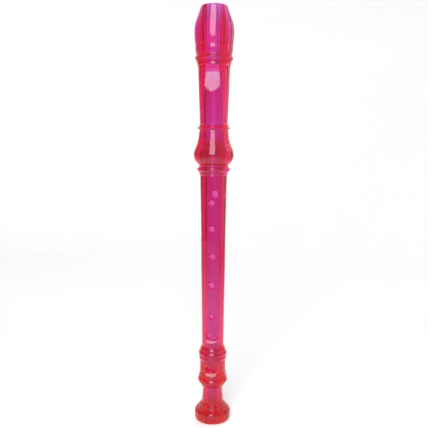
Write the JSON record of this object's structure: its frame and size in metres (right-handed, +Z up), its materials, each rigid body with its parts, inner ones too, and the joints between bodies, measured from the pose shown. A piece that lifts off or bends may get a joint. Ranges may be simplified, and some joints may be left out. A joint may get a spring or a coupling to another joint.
{
  "type": "soprano recorder",
  "caption": "Clear pink plastic soprano recorder in three joints: a beaked head with a window, a tube with finger and thumb holes, and a turned foot with a flared bell.",
  "frame": {"origin": "centre of the bell's rim, the face that the recorder stands on", "axes": "+Z up the bore to the beak; -Y is the front, with the window and the finger holes; +Y is the back, with the thumb hole; +X is the side of the smaller half of each double hole"},
  "size_m": [0.0318, 0.0318, 0.329],
  "materials": {
    "clear_pink_plastic": "clear, fluorescent pink, glossy from the mould"
  },
  "bodies": {
    "middle": {"middle_joint": "clear_pink_plastic"},
    "head": {"head_shell": "clear_pink_plastic", "windway_block": "clear_pink_plastic"},
    "foot": {"foot_joint": "clear_pink_plastic"}
  },
  "joints": [
    {"name": "head_tuning_slide", "type": "slide", "parent": "middle", "child": "head", "axis": [0, 0, 1], "range_m": [0, 0.022]},
    {"name": "foot_turn", "type": "hinge", "parent": "middle", "child": "foot", "pos_m": [0, 0, 0.055], "axis": [0, 0, 1], "continuous": true}
  ]
}
